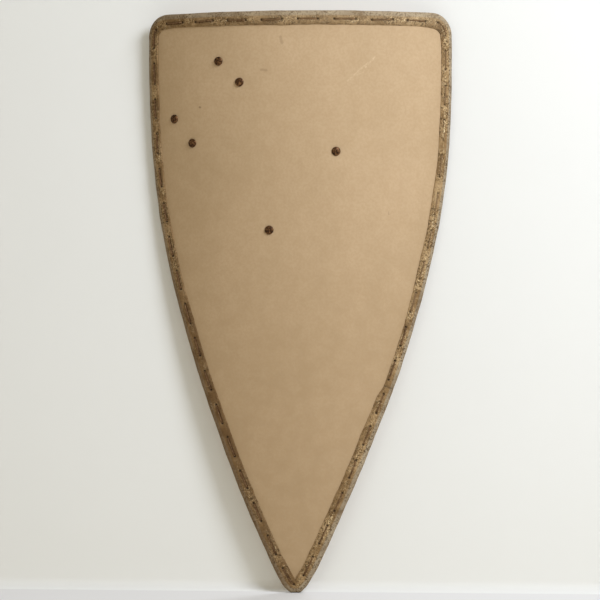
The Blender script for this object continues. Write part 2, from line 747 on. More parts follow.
# The inner edge is thinned from a share of the flange on, its last two lines are eased, and a scored
# line runs beside it
THINNED_FROM = 0.55
THINNING_POWER = 1.6
INNER_EDGE_THICKNESS = 1.1 * MM
LEAST_THICKNESS = 0.15 * MM
LIP_SHARES = (0.955, 0.985, 1.0)
LIP_DEPTHS = (0, 0.35 * MM, 0.9 * MM)
SCORED_INSET = 2.4 * MM
SCORED_WIDTH = 0.5 * MM
SCORED_SHADE = 0.36
# Reach, width and depth or height of what the lace does to the leather
RUN_EASE = (-1 * MM, 1.5 * MM)
GROOVE_WIDTH = 1.2 * MM
GROOVE_DEPTH = 0.9 * MM
GROOVE_SHADE = 0.14
PUCKER_PLACE = 3.0 * MM
PUCKER_WIDTH = 1.3 * MM
PUCKER_HEIGHT = 0.45 * MM
PIT_RADIUS = 2.1 * MM
PIT_DEPTH = 1.5 * MM
DIP_RADIUS = 2.8 * MM
DIP_DEPTH = 0.6 * MM
STAIN_DRIFT = 1.4 * MM
STAIN_WIDTH = 2.9 * MM
SEAM_BAND_WIDTH = 4.5 * MM
# The rim turns pale in this range of the flange's width
PALE_RIM = (0.84, 1.0)
# Shade where the two strips meet, and dirt at the foot
SEAM_SHADE = 0.5
SEAM_SHADE_LENGTH = 1.6 * MM
FOOT_DIRT = 0.95
FOOT_DIRT_HEIGHT = 2.4 * MM


def stitch_fields(distance, inset, front):
    """Stitch groove, raised lips, hole, dip and lace stain at a place on the binding."""
    indices = np.arange(-4, 2 * STITCH_COUNT + 4)
    places, insets = np.array([sewn_hole(int(i)) for i in indices]).T
    wrapped = np.mod(distance, RING_LENGTH)
    before = np.clip(np.searchsorted(places, wrapped) - 1, 0, len(places) - 2)
    since, until = wrapped - places[before], places[before + 1] - wrapped
    beyond = inset - np.interp(wrapped, places, insets)
    off = np.abs(beyond)
    pulled = np.where((indices % 2 == 0) == front, -HOLE_PULL, HOLE_PULL)
    to_hole = np.abs(wrapped - places[before] - pulled[before])
    to_hole = np.minimum(to_hole, np.abs(places[before + 1] + pulled[before + 1] - wrapped))
    hole_gap = np.hypot(to_hole, off)
    on_this_side = (indices[before] % 2 == 0) == front
    in_run = on_this_side * smooth_step(since, *RUN_EASE) * smooth_step(until, *RUN_EASE)
    hump = np.clip(4 * since * until / STITCH_LENGTH ** 2, 0, 1)
    groove = in_run * peak(off, GROOVE_WIDTH)
    pucker = in_run * hump * peak(off - PUCKER_PLACE, PUCKER_WIDTH)
    stain = in_run * peak(beyond - STAIN_DRIFT, STAIN_WIDTH)
    return groove, pucker, peak(hole_gap, PIT_RADIUS, 4), peak(hole_gap, DIP_RADIUS), stain


def flange_line(distance, width, share, front, seed):
    """A line along a flange, at a share of the way from the rounded edge to the inner edge."""
    inset = EDGE_ROUNDING + share * (width - EDGE_ROUNDING)
    groove, pucker, pit, dip, stain = stitch_fields(distance, inset, front)
    puff = uneven(PUFF, distance, inset * 2, seed + 4) * (1 - max(0, share - PUFFED_TO))
    crown = CROWN * peak(inset - CROWN_INSET, CROWN_SPREAD)
    thinned = max(0.0, (share - THINNED_FROM) / (1 - THINNED_FROM)) ** THINNING_POWER
    lip = np.interp(share, LIP_SHARES, LIP_DEPTHS)
    height = puff + crown - (BINDING_THICKNESS - INNER_EDGE_THICKNESS) * thinned - lip
    height = height + PUCKER_HEIGHT * pucker - GROOVE_DEPTH * groove - DIP_DEPTH * dip - PIT_DEPTH * pit
    height = np.maximum(height, LEAST_THICKNESS - BINDING_THICKNESS)
    level = BINDING_FRONT + height if front else BINDING_BACK - height
    scored = peak(width - inset - SCORED_INSET, SCORED_WIDTH)
    seam = SEAM_SHADE * peak(distance - MAIN_START, SEAM_SHADE_LENGTH)
    dark = np.clip(pit + GROOVE_SHADE * groove + SCORED_SHADE * scored + seam, 0, 1)
    rim = np.full(distance.size, smooth_step(1 - share, *PALE_RIM))
    return inset, level, dark, rim, stain, peak(inset - STITCH_INSET, SEAM_BAND_WIDTH)


def edge_line(distance, angle, seed):
    """A line along the rounded edge, from the front at angle 0 to the back at pi."""
    bulge = (EDGE_ROUNDING + EDGE_OUTSET) * (1 + uneven(BULGE_SWAY, distance, angle, seed + 2))
    inset = EDGE_ROUNDING - bulge * np.sin(angle) ** EDGE_POWERS[0]
    level = EDGE_MIDDLE + HALF_EDGE * squared(math.cos(angle), EDGE_POWERS[1])
    level = level + uneven(EDGE_RIPPLE, distance, angle * EDGE_RIPPLE_TURN, seed + 3)
    none = np.zeros(distance.size)
    return inset, level, none, none + 1, none, peak(inset - STITCH_INSET, SEAM_BAND_WIDTH)


def inner_line(width, share, level):
    none = np.zeros(width.size)
    return BINDING_THICKNESS + share * (width - BINDING_THICKNESS), none + level, none, none, none, none


# Ranges in which the binding's masks change: shares of the half width, from -1 at the left to 1 at
# the right, and of the height
FADED_ACROSS = (0.45, 0.70)
FADED_HEIGHT = (0.42, 0.55)
FADED_TOP = (0.955, 0.985)
GREYER_ACROSS = (-0.2, 0.0)
STAINED_ACROSS = (-0.3, 0.1)
WORN_TOP = (0.955, 0.995)
WORN_ACROSS = (-0.7, 0.1)
SOILED_ACROSS = (-0.15, 0.05)
SOILED_HEIGHT = (0.30, 0.85)


def right_fading(across, height):
    """Where the lacing is faded: up the right side and a little along the top."""
    right_side = smooth_step(across, *FADED_ACROSS) * smooth_step(height, *FADED_HEIGHT)
    top = smooth_step(height, *FADED_TOP)
    return right_side * (1 - 0.7 * top) + 0.2 * top * (1 - right_side)


def paint_binding(obj, flat, dark, rim, stain, seam):
    """Masks of the binding's material, some of them by place."""
    across = flat[:, 0] / ARC_HALF_WIDTH
    height = flat[:, 1] / SHIELD_HEIGHT
    foot_dirt = FOOT_DIRT * (1 - smooth_step(flat[:, 1], 0, FOOT_DIRT_HEIGHT))
    faded_dark = dark.ravel() * (1 - 0.35 * right_fading(across, height))
    paint(obj, "stitch_dark", np.maximum(faded_dark, foot_dirt))
    paint(obj, "rim_pale", rim.ravel() * (0.90 + 0.10 * smooth_step(across, *GREYER_ACROSS)))
    paint(obj, "seam_band", seam)
    paint(obj, "lace_stain", stain.ravel() * (1 - 0.78 * smooth_step(across, *STAINED_ACROSS)))
    paint(obj, "top_wear", smooth_step(height, *WORN_TOP) * smooth_step(across, *WORN_ACROSS))
    low = 1 - 0.75 * smooth_step(height, *SOILED_HEIGHT)
    paint(obj, "low_soil", low * (1 - smooth_step(across, *SOILED_ACROSS)))


def binding_object(name, start, end, width_at, seed, replaced):
    start, end = start + SEAM_GAP, end - SEAM_GAP
    count = int((end - start) / BINDING_STEP)
    distance = np.linspace(start, end, count)
    width = width_at(distance) + uneven(WIDTH_SWAY, distance, 0, seed)
    width = width + uneven(WIDTH_RIPPLE, distance, 0, seed + 1)
    lines = [flange_line(distance, width, share, True, seed) for share in FLANGE_SHARES[::-1]]
    lines += [edge_line(distance, angle, seed) for angle in EDGE_ANGLES]
    lines += [flange_line(distance, width, share, False, seed) for share in FLANGE_SHARES]
    lines += [inner_line(width, share, level) for share, level in INNER_LINES]
    inset, level, dark, rim, stain, seam = (np.stack(part, axis=1) for part in zip(*lines))
    point, inwards = ring_at(distance)
    place = point[:, None] + inwards[:, None] * inset[..., None]
    flat = np.concatenate([place, level[..., None]], axis=-1).reshape(-1, 3)
    flat[:, 1] = np.maximum(flat[:, 1], 0)
    columns = len(lines)
    uv = np.column_stack([np.repeat(distance, columns), np.tile(np.arange(columns), count) * MM])
    obj = add_object(name, bend(flat), tube_faces(count, columns), "binding", replaced, uv=uv)
    paint_binding(obj, flat, dark, rim, stain, seam)


def main_width(distance):
    neck_end = MAIN_START + NECK_DELAY
    grown = smooth_step(distance, neck_end, neck_end + NECK_LENGTH)
    from_centre = np.abs(distance - RING_LENGTH / 2)
    on_top = 1 - smooth_step(from_centre, ARC_HALF_WIDTH - CORNER_RADIUS, ARC_HALF_WIDTH)
    corner_widening = np.where(distance < RING_LENGTH / 2, *CORNER_WIDENINGS)
    corner_widening = corner_widening * peak(from_centre - CORNER_PLACE, CORNER_SPREAD)
    return NECK_WIDTH + (BINDING_WIDTH - NECK_WIDTH) * grown + TOP_WIDENING * on_top + corner_widening


def lower_width(distance):
    trimmed = smooth_step(distance, MAIN_START - SPLICE_TRIM, MAIN_START)
    return LOWER_BINDING_WIDTH - (LOWER_BINDING_WIDTH - NECK_WIDTH) * trimmed


binding_object("binding_main", MAIN_START, MAIN_END, main_width, 20, "edge_binding_main")
binding_object("binding_lower", MAIN_END - RING_LENGTH, MAIN_START, lower_width, 60, "edge_binding_lower")


# Lacing

LACE_REST = 0.1 * MM
LACE_LIFT = 0.25 * MM
LACE_DRIFT = 0.5 * MM
LACE_TWIST = (0.25, 50 * MM)
LACE_SIDES = 12
LACE_SQUARENESS = 0.6
RUN_RISE = 0.35 * MM
RUN_SHARES = np.linspace(0.08, 0.92, 9)
# The turn into a hole: how far before the hole it starts, and how deep it is there and in the hole
TURN_REACH = 0.5 * MM
TURN_DEPTH = 0.7 * MM
HOLE_DEPTH = 1.6 * MM


def outwards(level, reach):
    """A level moved away from the middle of the edge, or towards it where the reach is negative."""
    return level + reach * math.copysign(1, level - EDGE_MIDDLE)


def lace_path(first, last, seed):
    """Distance round the seam, level and inset of each point along a lace, from hole to hole."""
    rng = np.random.default_rng(seed)
    front = BINDING_FRONT + LACE_REST
    back = BINDING_BACK - LACE_REST
    start, inset = sewn_hole(first)
    path = [(start - LACE_TAIL, back, inset), (start - LACE_TAIL / 2, back, inset)]
    for i in range(first, last + 1):
        here, inset = sewn_hole(i)
        before, after = (back, front) if i % 2 == 0 else (front, back)
        into, out = outwards(before, -HOLE_DEPTH), outwards(after, -HOLE_DEPTH)
        path.append((here - TURN_REACH, outwards(before, -TURN_DEPTH), inset))
        path += [(here, level, inset) for level in (into, (into + out) / 2, out)]
        path.append((here + TURN_REACH, outwards(after, -TURN_DEPTH), inset))
        if i < last:
            lift = rng.uniform(-LACE_LIFT, LACE_LIFT)
            drift = rng.uniform(-LACE_DRIFT, LACE_DRIFT)
            there, next_inset = sewn_hole(i + 1)
            for share in RUN_SHARES:
                hump = math.sin(math.pi * share)
                side = inset + (next_inset - inset) * share + drift * hump
                path.append((here + (there - here) * share, outwards(after, RUN_RISE - lift * hump), side))
    path += [(here + LACE_TAIL / 2, back, inset), (here + LACE_TAIL, back, inset)]
    return np.array(path).T


def lace_object(name, first, last, seed, replaced):
    distance, level, inset = lace_path(first, last, seed)
    point, inwards = ring_at(distance)
    place = point + inwards * inset[:, None]
    centre = bend(np.column_stack([place, level]))
    across = unit(bend(np.column_stack([place + inwards * MM, level])) - centre)
    up = unit(np.cross(unit(np.gradient(centre, axis=0)), across))
    twist = uneven(LACE_TWIST, distance, 0, seed + 1)[:, None]
    side = across * np.cos(twist) + up * np.sin(twist)
    top = up * np.cos(twist) - across * np.sin(twist)
    corners = []
    for angle in np.linspace(0, 2 * math.pi, LACE_SIDES, endpoint=False):
        x = squared(math.cos(angle), LACE_SQUARENESS) * LACE_WIDTH / 2
        y = squared(math.sin(angle), LACE_SQUARENESS) * LACE_THICKNESS / 2
        corners.append(centre + side * x + top * y)
    vertices = np.stack(corners, axis=1).reshape(-1, 3)
    obj = add_object(name, vertices, tube_faces(len(centre), LACE_SIDES), "lace", replaced)
    paint(obj, "faded", right_fading(vertices[:, 0] / ARC_HALF_WIDTH, vertices[:, 2] / SHIELD_HEIGHT))


lace_object("lacing_main", SPLICE_STITCH, TIP_STITCH - 1, 31, "edge_lacing_main")
lace_object("lacing_lower", TIP_STITCH - 2 * STITCH_COUNT, SPLICE_STITCH - 1, 33, "edge_lacing_lower")


# A frayed pale thread that lies down the binding from a stitch of the right side

FRAYED_HOLE = 27
FRAY_LENGTH = 55 * MM
FRAY_RADIUS = 0.9 * MM
FRAY_SWAY = (1.2 * MM, 12 * MM)
FRAY_RISE = (1, 9 * MM)
FRAY_THINNING = (0.4, 4 * MM)
FRAY_START_SHARE = 1.1
FRAY_STEPS = 60
FRAY_SIDES = 8


def frayed_thread():
    start, inset = sewn_hole(FRAYED_HOLE)
    share = np.linspace(0, 1, FRAY_STEPS)
    distance = start - FRAY_LENGTH * share
    point, inwards = ring_at(distance)
    sway = uneven(FRAY_SWAY, distance, 0, 91)
    place = point + inwards * (inset + sway)[:, None]
    level = BINDING_FRONT + FRAY_RADIUS * (1 + uneven(FRAY_RISE, distance, 0, 92))
    centre = bend(np.column_stack([place, level]))
    radius = FRAY_RADIUS * (FRAY_START_SHARE - share) * (1 + uneven(FRAY_THINNING, distance, 0, 93))
    rings = [
        centre + np.outer(radius, (math.cos(angle), math.sin(angle), 0))
        for angle in np.linspace(0, 2 * math.pi, FRAY_SIDES, endpoint=False)
    ]
    vertices = np.stack(rings, axis=1).reshape(-1, 3)
    faces = tube_faces(FRAY_STEPS, FRAY_SIDES)
    add_object("frayed_thread", vertices, faces, "lace", None, material="thread")


frayed_thread()


# Rivets and roves

LATHE_STEPS = 40
WOBBLE_SIZE = 2.5 * MM
RIVET_SEAT_GAP = 0.05 * MM
HEAD_SEAT_SHARE = 0.96
HEAD_LIFT_SHARE = 0.93
HEAD_RIM = 0.25 * MM
HEAD_CENTRE_RADIUS = 0.2 * MM
PEEN_CENTRE_RADIUS = 0.3 * MM
ROVE_BACK_SHARE = 0.94
ROVE_EASE = 0.3 * MM


def lathe_object(name, profile, place, slot, replaced, wobble, seed):
    """A round piece in front of or behind a flat place, from (radius, level) points."""
    angles = np.linspace(0, 2 * math.pi, LATHE_STEPS, endpoint=False)
    stretch = 1 + uneven((wobble, WOBBLE_SIZE), np.cos(angles) * MM, np.sin(angles) * MM, seed)
    flat = np.vstack([
        np.column_stack([
            place[0] + radius * stretch * np.cos(angles),
            place[1] + radius * stretch * np.sin(angles),
            np.full(LATHE_STEPS, level),
        ])
        for radius, level in profile
    ])
    faces = tube_faces(len(profile), LATHE_STEPS)
    if profile[0] == profile[-1]:
        last = (len(profile) - 1) * LATHE_STEPS
        faces = [[v - last if v >= last else v for v in face] for face in faces[:-2]]
        flat = flat[:last]
    add_object(name, bend(flat), faces, slot, replaced)


def rivet_profile(rove_back):
    """From the peened end behind the rove, along the shank, to the centre of the domed head."""
    seat = FACING_FRONT + RIVET_SEAT_GAP
    peen = rove_back - FIT_GAP
    profile = [(PEEN_CENTRE_RADIUS, peen - PEEN_HEIGHT)]
    for angle in np.linspace(0.25, math.pi / 2, 6):
        profile.append((PEEN_RADIUS * math.sin(angle), peen - PEEN_HEIGHT * math.cos(angle)))
    profile += [(SHANK_RADIUS, peen), (SHANK_RADIUS, seat), (HEAD_RADIUS * HEAD_SEAT_SHARE, seat)]
    for angle in np.linspace(0, math.pi / 2, 14)[:-1]:
        lift = HEAD_HEIGHT * math.sin(angle) ** 0.9 * HEAD_LIFT_SHARE + HEAD_RIM
        profile.append((HEAD_RADIUS * math.cos(angle), seat + lift))
    profile.append((HEAD_CENTRE_RADIUS, seat + HEAD_HEIGHT))
    return profile


def rove_profile(rove_front, rove_back):
    return [
        (RIVET_HOLE_RADIUS, rove_back),
        (ROVE_RADIUS * ROVE_BACK_SHARE, rove_back),
        (ROVE_RADIUS, rove_back + ROVE_EASE),
        (ROVE_RADIUS, rove_front),
        (RIVET_HOLE_RADIUS, rove_front),
        (RIVET_HOLE_RADIUS, rove_back),
    ]


for number, (rivet_name, rivet_place) in enumerate(RIVET_PLACES.items()):
    strap_thickness = HAND_STRAP_THICKNESS if rivet_name.startswith("hand") else ARM_STRAP_THICKNESS
    rove_front = -BOARD_THICKNESS - 2 * FIT_GAP - strap_thickness
    rove_back = rove_front - ROVE_THICKNESS
    lathe_object(
        f"{rivet_name}_rivet_dome", rivet_profile(rove_back), rivet_place, "rivet", f"{rivet_name}_rivet",
        wobble=0.02, seed=number,
    )
    lathe_object(
        f"{rivet_name}_rove_ring", rove_profile(rove_front, rove_back), rivet_place, "rove",
        f"{rivet_name}_rove", wobble=0.015, seed=number + 40,
    )


# Straps: a profile of (length, height above the board's back) points between two rivets

STRAP_STEP = 0.9 * MM
STRAP_COLUMNS = 31
FINE_STEP = 0.2 * MM
CURVE_STEPS = 28
LEAST_WIDTH_SHARE = 0.05
STRAP_SWAY = (0.008, 50 * MM)
STRAP_RIPPLE = (0.10 * MM, 20 * MM)
HOLE_SNAP = 1.3 * MM
STRAP_GROOVE_INSET = 3.0 * MM
STRAP_GROOVE_WIDTH = 0.45 * MM
STRAP_GROOVE_DEPTH = 0.28 * MM
STRAP_EDGE_REACH = 0.8 * MM
STRAP_BEVEL = 0.45 * MM


def strap_seat(from_name, to_name):
    """Middle, direction and half length of the line between two rivets."""
    start, end = RIVET_PLACES[from_name], RIVET_PLACES[to_name]
    length = np.linalg.norm(end - start)
    return (start + end) / 2, (end - start) / length, length / 2


def raised_bend(flat, middle):
    """Feet follow the board, what is high above it stays straight and rigid."""
    angle = middle[0] / BEND_RADIUS
    tangent = np.array([math.cos(angle), math.sin(angle)])
    inwards = np.array([-tangent[1], tangent[0]])
    radius = BEND_RADIUS - BOARD_THICKNESS
    seat = np.array([radius * math.sin(angle), BEND_RADIUS + EDGE_MIDDLE - radius * math.cos(angle)])
    rise = -BOARD_THICKNESS - flat[:, 2]
    share = smooth_step(rise, BOARD_THICKNESS, ARM_CLEARANCE / 2)[:, None]
    rigid = seat + np.outer(flat[:, 0] - middle[0], tangent) + np.outer(rise, inwards)
    return (1 - share) * bend(flat) + share * np.column_stack([rigid, flat[:, 1]])


def rise_curve(start, end, height, base):
    share = np.linspace(0, 1, CURVE_STEPS)
    rise = base + height * (1 - np.cos(math.pi * share)) / 2
    return np.column_stack([start + (end - start) * share, rise])


def resample(points, spacing):
    """Even points along a profile, and the run to each from its start."""
    points = np.asarray(points)
    keep = np.concatenate([[True], np.linalg.norm(np.diff(points, axis=0), axis=1) > 1e-7])
    points = points[keep]
    run = np.concatenate([[0], np.cumsum(np.linalg.norm(np.diff(points, axis=0), axis=1))])
    count = max(int(run[-1] / spacing), 2)
    even = np.linspace(0, run[-1], count + 1)
    return np.column_stack([np.interp(even, run, points[:, k]) for k in (0, 1)]), even


def run_at(centre, along, upper=True):
    """Run along a profile to the first or last point that passes a place along the strap."""
    line, run = resample(centre, FINE_STEP)
    crossings = np.argwhere(np.diff(np.sign(line[:, 0] - along)) != 0).ravel()
    return run[crossings[0] if upper else crossings[-1]]


def strap_half_width(run, width, ends, seed):
    """Half the width along a strap that is rounded over a length at the start and at the end."""
    half = np.full(run.shape, width / 2)
    for reach, gap in zip(ends, (run, run[-1] - run)):
        inside = np.clip(gap / reach, 0, 1)
        rounded = np.sqrt(np.clip(1 - (1 - inside) ** 2, LEAST_WIDTH_SHARE ** 2, 1))
        half = np.minimum(half, width / 2 * rounded)
    return half * (1 + uneven(STRAP_SWAY, run, 0, seed))


def hole_gap(hole, along, side):
    """How far a place on a strap lies outside a hole (run to it, half length, radius)."""
    place, half_length, radius = hole
    return np.hypot(np.maximum(np.abs(along - place) - half_length, 0), side) - radius


def cut_holes(holes, run_grid, side_grid):
    """Cells of a strap's grid that are left, and its points with those beside a hole on its outline."""
    mid_run = (run_grid[:-1, :-1] + run_grid[1:, 1:]) / 2
    mid_side = (side_grid[:-1, :-1] + side_grid[1:, 1:]) / 2
    cells = np.all([hole_gap(hole, mid_run, mid_side) > 0 for hole in holes], axis=0)
    padded = np.pad(cells, 1).astype(int)
    used = padded[:-1, :-1] + padded[:-1, 1:] + padded[1:, :-1] + padded[1:, 1:]
    along_grid = run_grid
    for hole in holes:
        place, half_length, radius = hole
        near = (np.abs(hole_gap(hole, run_grid, side_grid)) < HOLE_SNAP) & (used > 0) & (used < 4)
        core = np.clip(run_grid - place, -half_length, half_length) + place
        off_run = run_grid - core
        size = np.maximum(np.hypot(off_run, side_grid), 1e-6)
        along_grid = np.where(near, core + off_run / size * radius, along_grid)
        side_grid = np.where(near, side_grid / size * radius, side_grid)
    return cells, along_grid, side_grid


def strap_faces(cells):
    """Faces over and under the cells that are left, and a wall on each side that has no neighbour."""
    columns = cells.shape[1] + 1
    count = (cells.shape[0] + 1) * columns
    padded = np.pad(cells, 1)
    faces = []
    for r, c in np.argwhere(cells):
        a = r * columns + c
        b, d, e = a + 1, a + columns, a + columns + 1
        faces += [(a, b, e, d), (a + count, d + count, e + count, b + count)]
        walls = (
            (padded[r + 1, c], (a, d, d + count, a + count)),
            (padded[r + 1, c + 2], (b, b + count, e + count, e)),
            (padded[r, c + 1], (a, a + count, b + count, b)),
            (padded[r + 2, c + 1], (d, e, e + count, d + count)),
        )
        faces += [wall for neighbour, wall in walls if not neighbour]
    return faces


def strap_object(name, centre, thickness, width, seat, holes, ends, replaced, seed):
    """A flat strap along a side profile, with round ends and holes cut through its grid."""
    middle, way, _ = seat
    line, run = resample(centre, STRAP_STEP)
    half = strap_half_width(run, width, ends, seed)
    slope = unit(np.gradient(line, axis=0))
    normal = np.column_stack([-slope[:, 1], slope[:, 0]])
    run_grid = np.repeat(run[:, None], STRAP_COLUMNS, axis=1)
    side_grid = half[:, None] * np.linspace(-1, 1, STRAP_COLUMNS)[None, :]
    cells, along_grid, side_grid = cut_holes(holes, run_grid, side_grid)
    centre_grid = np.stack([np.interp(along_grid, run, line[:, k]) for k in (0, 1)], axis=-1)
    normal_grid = np.stack([np.interp(along_grid, run, normal[:, k]) for k in (0, 1)], axis=-1)
    border = half[:, None] - np.abs(side_grid)
    groove = peak(border - STRAP_GROOVE_INSET, STRAP_GROOVE_WIDTH)
    ripple = uneven(STRAP_RIPPLE, along_grid, side_grid, seed + 1)
    layers = []
    for sign in (1, -1):
        lift = thickness / 2 - STRAP_GROOVE_DEPTH * groove + (ripple if sign > 0 else 0)
        profile = centre_grid + sign * normal_grid * lift[..., None]
        layers.append(np.column_stack([profile.reshape(-1, 2), side_grid.ravel()]))
    length, rise, side = np.vstack(layers).T
    flat = np.column_stack([
        middle[0] + way[0] * length + way[1] * side,
        middle[1] + way[1] * length - way[0] * side,
        -BOARD_THICKNESS - rise,
    ])
    faces = strap_faces(cells)
    used, packed = np.unique(np.array(faces), return_inverse=True)
    vertices = raised_bend(flat, middle)[used]
    obj = add_object(name, vertices, packed.reshape(-1, 4), "strap", replaced)
    edge = np.exp(-np.clip(border, 0, 1) / STRAP_EDGE_REACH)
    paint(obj, "strap_edge", np.tile(edge.ravel(), 2)[used])
    paint(obj, "strap_groove", np.tile(groove.ravel(), 2)[used])
    add_bevel(obj, STRAP_BEVEL, segments=3, angle=50)


def hand_strap(name, from_name, to_name, seed):
    seat = strap_seat(from_name, to_name)
    base = FIT_GAP + HAND_STRAP_THICKNESS / 2
    foot = seat[2] - STRAP_FLAT_REACH
    end = seat[2] + STRAP_END_REACH
    rising = rise_curve(-foot, 0, HAND_CLEARANCE, base)
    falling = rise_curve(foot, 0, HAND_CLEARANCE, base)[::-1]
    centre = np.vstack([[[-end, base]], rising, falling[1:], [[end, base]]])
    length = np.linalg.norm(np.diff(centre, axis=0), axis=1).sum()
    holes = [(place, 0, RIVET_HOLE_RADIUS) for place in (STRAP_END_REACH, length - STRAP_END_REACH)]
    ends = (HAND_STRAP_WIDTH / 2, HAND_STRAP_WIDTH / 2)
    strap_object(
        f"{name}_leather", centre, HAND_STRAP_THICKNESS, HAND_STRAP_WIDTH, seat, holes, ends, name, seed,
    )


hand_strap("hand_strap_upper", "hand_upper_side", "hand_upper_top", 70)
hand_strap("hand_strap_lower", "hand_lower_side", "hand_lower_top", 75)


# Forearm strap, worked out round the buckle as in the part's source

ARM_SEAT = strap_seat("forearm_bottom", "forearm_top")
HEEL_BAR = -BUCKLE_LENGTH / 3
FOLD_RADIUS = BAR_RADIUS + FOLD_BAR_GAP + ARM_STRAP_THICKNESS / 2
FOLDED_SPLIT = (ARM_STRAP_THICKNESS + FIT_GAP) / 2
BAR_HEIGHT = ARM_CLEARANCE + FOLDED_SPLIT + ARM_STRAP_THICKNESS / 2
BILLET_OVER_BAR = BAR_HEIGHT + FOLD_RADIUS + ARM_STRAP_THICKNESS + FIT_GAP
FRONT_BAR_PLACE = HEEL_BAR - BUCKLE_LENGTH * math.cos(BUCKLE_TILT)
FRONT_BAR_HEIGHT = BAR_HEIGHT + BUCKLE_LENGTH * math.sin(BUCKLE_TILT)
FRONT_BAR_DROP = BUCKLE_THICKNESS / 2 * math.cos(BUCKLE_TILT) + BUCKLE_RAIL / 2 * math.sin(BUCKLE_TILT)
BILLET_UNDER_BAR = FRONT_BAR_HEIGHT - FRONT_BAR_DROP - FIT_GAP - ARM_STRAP_THICKNESS / 2
BILLET_LOW = FRONT_BAR_PLACE + BUCKLE_RAIL / 2 + BUCKLE_THICKNESS / 2
FOOT_LENGTH = ARM_SEAT[2] - STRAP_FLAT_REACH
ARM_END = ARM_SEAT[2] + STRAP_END_REACH
ARM_BASE = FIT_GAP + ARM_STRAP_THICKNESS / 2
BARREL_CORNER = (BUCKLE_LENGTH - BUCKLE_RAIL / 2, BUCKLE_THICKNESS / 2)
PRONG_RADIUS = PRONG_DIAMETER / 2 / math.cos(math.pi / 8)
PRONG_RISE = math.asin((PRONG_RADIUS + FIT_GAP) / math.hypot(*BARREL_CORNER))
PRONG_ANGLE = BUCKLE_TILT + math.atan2(BARREL_CORNER[1], BARREL_CORNER[0]) + PRONG_RISE
PRONG_LIFT_ROOM = math.radians(14)
FOLD_STEPS = 24
PRONG_SLOT_HALF = 9.5 * MM
BUCKLE_STRAP_ENDS = (ARM_STRAP_WIDTH / 2, 3 * MM)
BILLET_ENDS = (ARM_STRAP_WIDTH / 2, BILLET_POINT)
BILLET_EASE = 3 * MM
ARM_END_HOLE = (STRAP_END_REACH, 0, RIVET_HOLE_RADIUS)


def arm_strap(name, centre, holes, ends, replaced, seed):
    strap_object(
        name, centre, ARM_STRAP_THICKNESS, ARM_STRAP_WIDTH, ARM_SEAT, holes, ends, replaced, seed,
    )


def fold_offset(along):
    return FOLD_RADIUS + (FOLDED_SPLIT - FOLD_RADIUS) * smooth_step(along, HEEL_BAR, HEEL_BAR + FOLD_SETTLE)


def buckle_strap():
    main = rise_curve(FOOT_LENGTH, CROWN_HALF_LENGTH, BAR_HEIGHT + FOLDED_SPLIT - ARM_BASE, ARM_BASE)
    settle = np.linspace(HEEL_BAR + FOLD_SETTLE, HEEL_BAR, FOLD_STEPS)
    upper = np.column_stack([settle, BAR_HEIGHT + fold_offset(settle)])
    lower = np.column_stack([settle, BAR_HEIGHT - fold_offset(settle)])[::-1]
    angles = np.linspace(math.pi / 2, 3 * math.pi / 2, FOLD_STEPS)[1:-1]
    fold = np.column_stack([np.cos(angles), np.sin(angles)]) * FOLD_RADIUS + np.array([HEEL_BAR, BAR_HEIGHT])
    end = [[HEEL_BAR + FOLDED_END, BAR_HEIGHT - FOLDED_SPLIT]]
    centre = np.vstack([[[ARM_END, ARM_BASE]], main, upper, fold, lower, end])
    line, run = resample(centre, FINE_STEP)
    rivet = HEEL_BAR + FOLD_RIVET_REACH
    holes = [
        ARM_END_HOLE,
        (run_at(centre, rivet), 0, FOLD_RIVET_RADIUS),
        (run[np.argmin(line[:, 0])], PRONG_SLOT_HALF, PRONG_DIAMETER / 2 + BAR_RADIUS),
        (run_at(centre, rivet, upper=False), 0, FOLD_RIVET_RADIUS),
    ]
    arm_strap("forearm_buckle_leather", centre, holes, BUCKLE_STRAP_ENDS, "forearm_buckle_strap", 80)


def eased_corner(corner, before, after):
    """A short curve in place of a corner, from one direction to the other."""
    start, stop = corner - before * BILLET_EASE, corner + after * BILLET_EASE
    share = np.linspace(0, 1, 8)[:, None]
    return (1 - share) ** 2 * start + 2 * share * (1 - share) * corner + share ** 2 * stop


def billet_strap():
    rising = rise_curve(-FOOT_LENGTH, -CROWN_HALF_LENGTH, BILLET_UNDER_BAR - ARM_BASE, ARM_BASE)
    corner_low = np.array([BILLET_LOW, BILLET_UNDER_BAR])
    corner_high = np.array([HEEL_BAR, BILLET_OVER_BAR])
    way = (corner_high - corner_low) / np.linalg.norm(corner_high - corner_low)
    level = np.array([1.0, 0.0])
    centre = np.vstack([
        [[-ARM_END, ARM_BASE]],
        rising,
        eased_corner(corner_low, level, way),
        eased_corner(corner_high, way, level),
        [[HEEL_BAR + BILLET_REACH, BILLET_OVER_BAR]],
    ])
    # The prong's hole is a slot, so that the prong can lift in it
    lifted = PRONG_ANGLE + PRONG_LIFT_ROOM
    slot_start = HEEL_BAR - (BILLET_OVER_BAR - BAR_HEIGHT) / math.tan(PRONG_ANGLE) - PRONG_DIAMETER
    slot_end = HEEL_BAR - (BILLET_UNDER_BAR - BAR_HEIGHT) / math.tan(lifted) + PRONG_DIAMETER
    slot_half = (slot_end - slot_start) / 2 - BILLET_HOLE_RADIUS / 2
    holes = [ARM_END_HOLE, (run_at(centre, (slot_start + slot_end) / 2), slot_half, BILLET_HOLE_RADIUS)]
    for number in (1, 2):
        spare = HEEL_BAR - BUCKLE_LENGTH / 2 + number * BILLET_HOLE_SPACING
        holes.append((run_at(centre, spare), 0, BILLET_HOLE_RADIUS))
    arm_strap("forearm_billet_leather", centre, holes, BILLET_ENDS, "forearm_billet_strap", 85)


buckle_strap()
billet_strap()


# Buckle, prong, keeper and fold rivet: the frame's own shapes with eased edges

